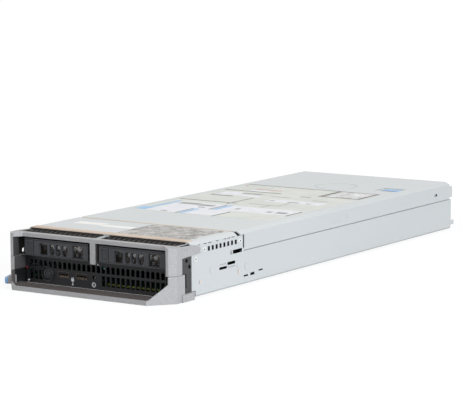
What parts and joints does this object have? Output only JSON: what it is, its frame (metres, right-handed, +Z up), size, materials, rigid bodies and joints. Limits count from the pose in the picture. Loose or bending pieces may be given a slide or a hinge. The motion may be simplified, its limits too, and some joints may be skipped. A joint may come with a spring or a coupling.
{
  "type": "blade server",
  "caption": "Half-height blade server: shallow steel tray with lift-off cover, grey front bezel with slotted grille, hot-swap drives and a swing-out release handle.",
  "frame": {"origin": "centre of the tray's flat underside, halfway along the floor plate", "axes": "+X to the right seen from the front, +Y from the front bezel to the rear connectors, +Z up through the cover"},
  "size_m": [0.1904, 0.545, 0.0525],
  "materials": {
    "zinc_steel": "zinc-plated sheet, satin",
    "bezel_grey": "fine-textured moulding, satin",
    "black_plastic": "moulded, satin",
    "carrier_grey": "moulded, satin",
    "bright_steel": "nickel-plated, bright",
    "steel_pin": "machined, satin",
    "aluminium": "extruded, satin",
    "board_green": "solder mask, semi-gloss",
    "chip_black": "moulded package, semi-gloss",
    "latch_white": "moulded, satin",
    "gasket_tan": "conductive cloth over foam, matt",
    "blue_plastic": "moulded, semi-gloss",
    "clear_plastic": "clear light pipe, polished",
    "brass": "plated, bright"
  },
  "bodies": {
    "chassis": {"base_tray": "zinc_steel", "front_top_panel": "zinc_steel", "drive_cage": "zinc_steel", "front_gasket": "gasket_tan", "rear_gasket": "gasket_tan", "front_bezel": "bezel_grey", "side_bracket_right": "black_plastic", "side_bracket_left": "black_plastic", "handle_hinge_pin": "steel_pin", "front_grille": "black_plastic", "power_button_ring": "black_plastic", "usb_shells": "brass", "usb_tongues": "black_plastic", "front_light_pipes": "clear_plastic", "system_board": "board_green", "front_control_board": "board_green", "board_standoffs": "brass", "drive_backplane": "board_green", "backplane_connectors": "black_plastic", "heatsink_front": "aluminium", "heatsink_rear": "aluminium", "heatsink_screws": "steel_pin", "processor_sockets": "black_plastic", "processors": "bright_steel", "memory_sockets": "black_plastic", "memory_modules": "board_green", "memory_chips": "chip_black", "memory_latches": "latch_white", "voltage_regulators": "chip_black", "mezzanine_card_right": "board_green", "mezzanine_card_left": "board_green", "network_card": "board_green", "chipset_heatsink": "aluminium", "coin_cell_holder": "black_plastic", "coin_cell": "bright_steel", "storage_controller": "board_green", "flash_card_riser": "board_green", "fabric_connectors": "black_plastic", "rear_power_connector": "black_plastic", "rear_guide_sockets": "aluminium", "case_screws": "steel_pin", "side_rivets": "steel_pin"},
    "release_handle": {"release_handle": "bezel_grey"},
    "handle_button": {"handle_release_button": "blue_plastic"},
    "power_button": {"power_button": "carrier_grey"},
    "cover": {"top_cover": "zinc_steel", "cover_latch_cup": "zinc_steel"},
    "cover_latch": {"cover_latch": "blue_plastic"},
    "drive_left": {"carrier_left": "carrier_grey", "carrier_hinge_pin_left": "steel_pin", "disk_left": "aluminium", "carrier_mesh_left": "bright_steel"},
    "drive_lever_left": {"carrier_handle_left": "carrier_grey"},
    "drive_catch_left": {"carrier_button_left": "carrier_grey"},
    "drive_right": {"carrier_right": "carrier_grey", "carrier_hinge_pin_right": "steel_pin", "disk_right": "aluminium", "carrier_mesh_right": "bright_steel"},
    "drive_lever_right": {"carrier_handle_right": "carrier_grey"},
    "drive_catch_right": {"carrier_button_right": "carrier_grey"}
  },
  "joints": [
    {"name": "handle_hinge", "type": "hinge", "parent": "chassis", "child": "release_handle", "pos_m": [0.088, -0.2435, 0], "axis": [0, 0, 1], "range_deg": [0, 65]},
    {"name": "handle_button_slide", "type": "slide", "parent": "release_handle", "child": "handle_button", "axis": [0.7615, 0.6482, 0], "range_m": [0, 0.002], "stiffness_N_per_m": 300},
    {"name": "power_button_press", "type": "slide", "parent": "chassis", "child": "power_button", "axis": [0, 1, 0], "range_m": [0, 0.0012], "stiffness_N_per_m": 500},
    {"name": "cover_lift", "type": "slide", "parent": "chassis", "child": "cover", "axis": [0, 0, 1], "range_m": [0, 0.06]},
    {"name": "cover_latch_press", "type": "slide", "parent": "cover", "child": "cover_latch", "axis": [0, 0, -1], "range_m": [0, 0.001], "stiffness_N_per_m": 500},
    {"name": "drive_slide_left", "type": "slide", "parent": "chassis", "child": "drive_left", "axis": [0, -1, 0], "range_m": [0, 0.12]},
    {"name": "drive_lever_hinge_left", "type": "hinge", "parent": "drive_left", "child": "drive_lever_left", "pos_m": [-0.0097, -0.2572, 0.0351], "axis": [0, 0, 1], "range_deg": [0, 60]},
    {"name": "drive_catch_press_left", "type": "slide", "parent": "drive_left", "child": "drive_catch_left", "axis": [0, 1, 0], "range_m": [0, 0.002], "stiffness_N_per_m": 400},
    {"name": "drive_slide_right", "type": "slide", "parent": "chassis", "child": "drive_right", "axis": [0, -1, 0], "range_m": [0, 0.12]},
    {"name": "drive_lever_hinge_right", "type": "hinge", "parent": "drive_right", "child": "drive_lever_right", "pos_m": [0.0764, -0.2572, 0.0351], "axis": [0, 0, 1], "range_deg": [0, 60]},
    {"name": "drive_catch_press_right", "type": "slide", "parent": "drive_right", "child": "drive_catch_right", "axis": [0, 1, 0], "range_m": [0, 0.002], "stiffness_N_per_m": 400}
  ]
}
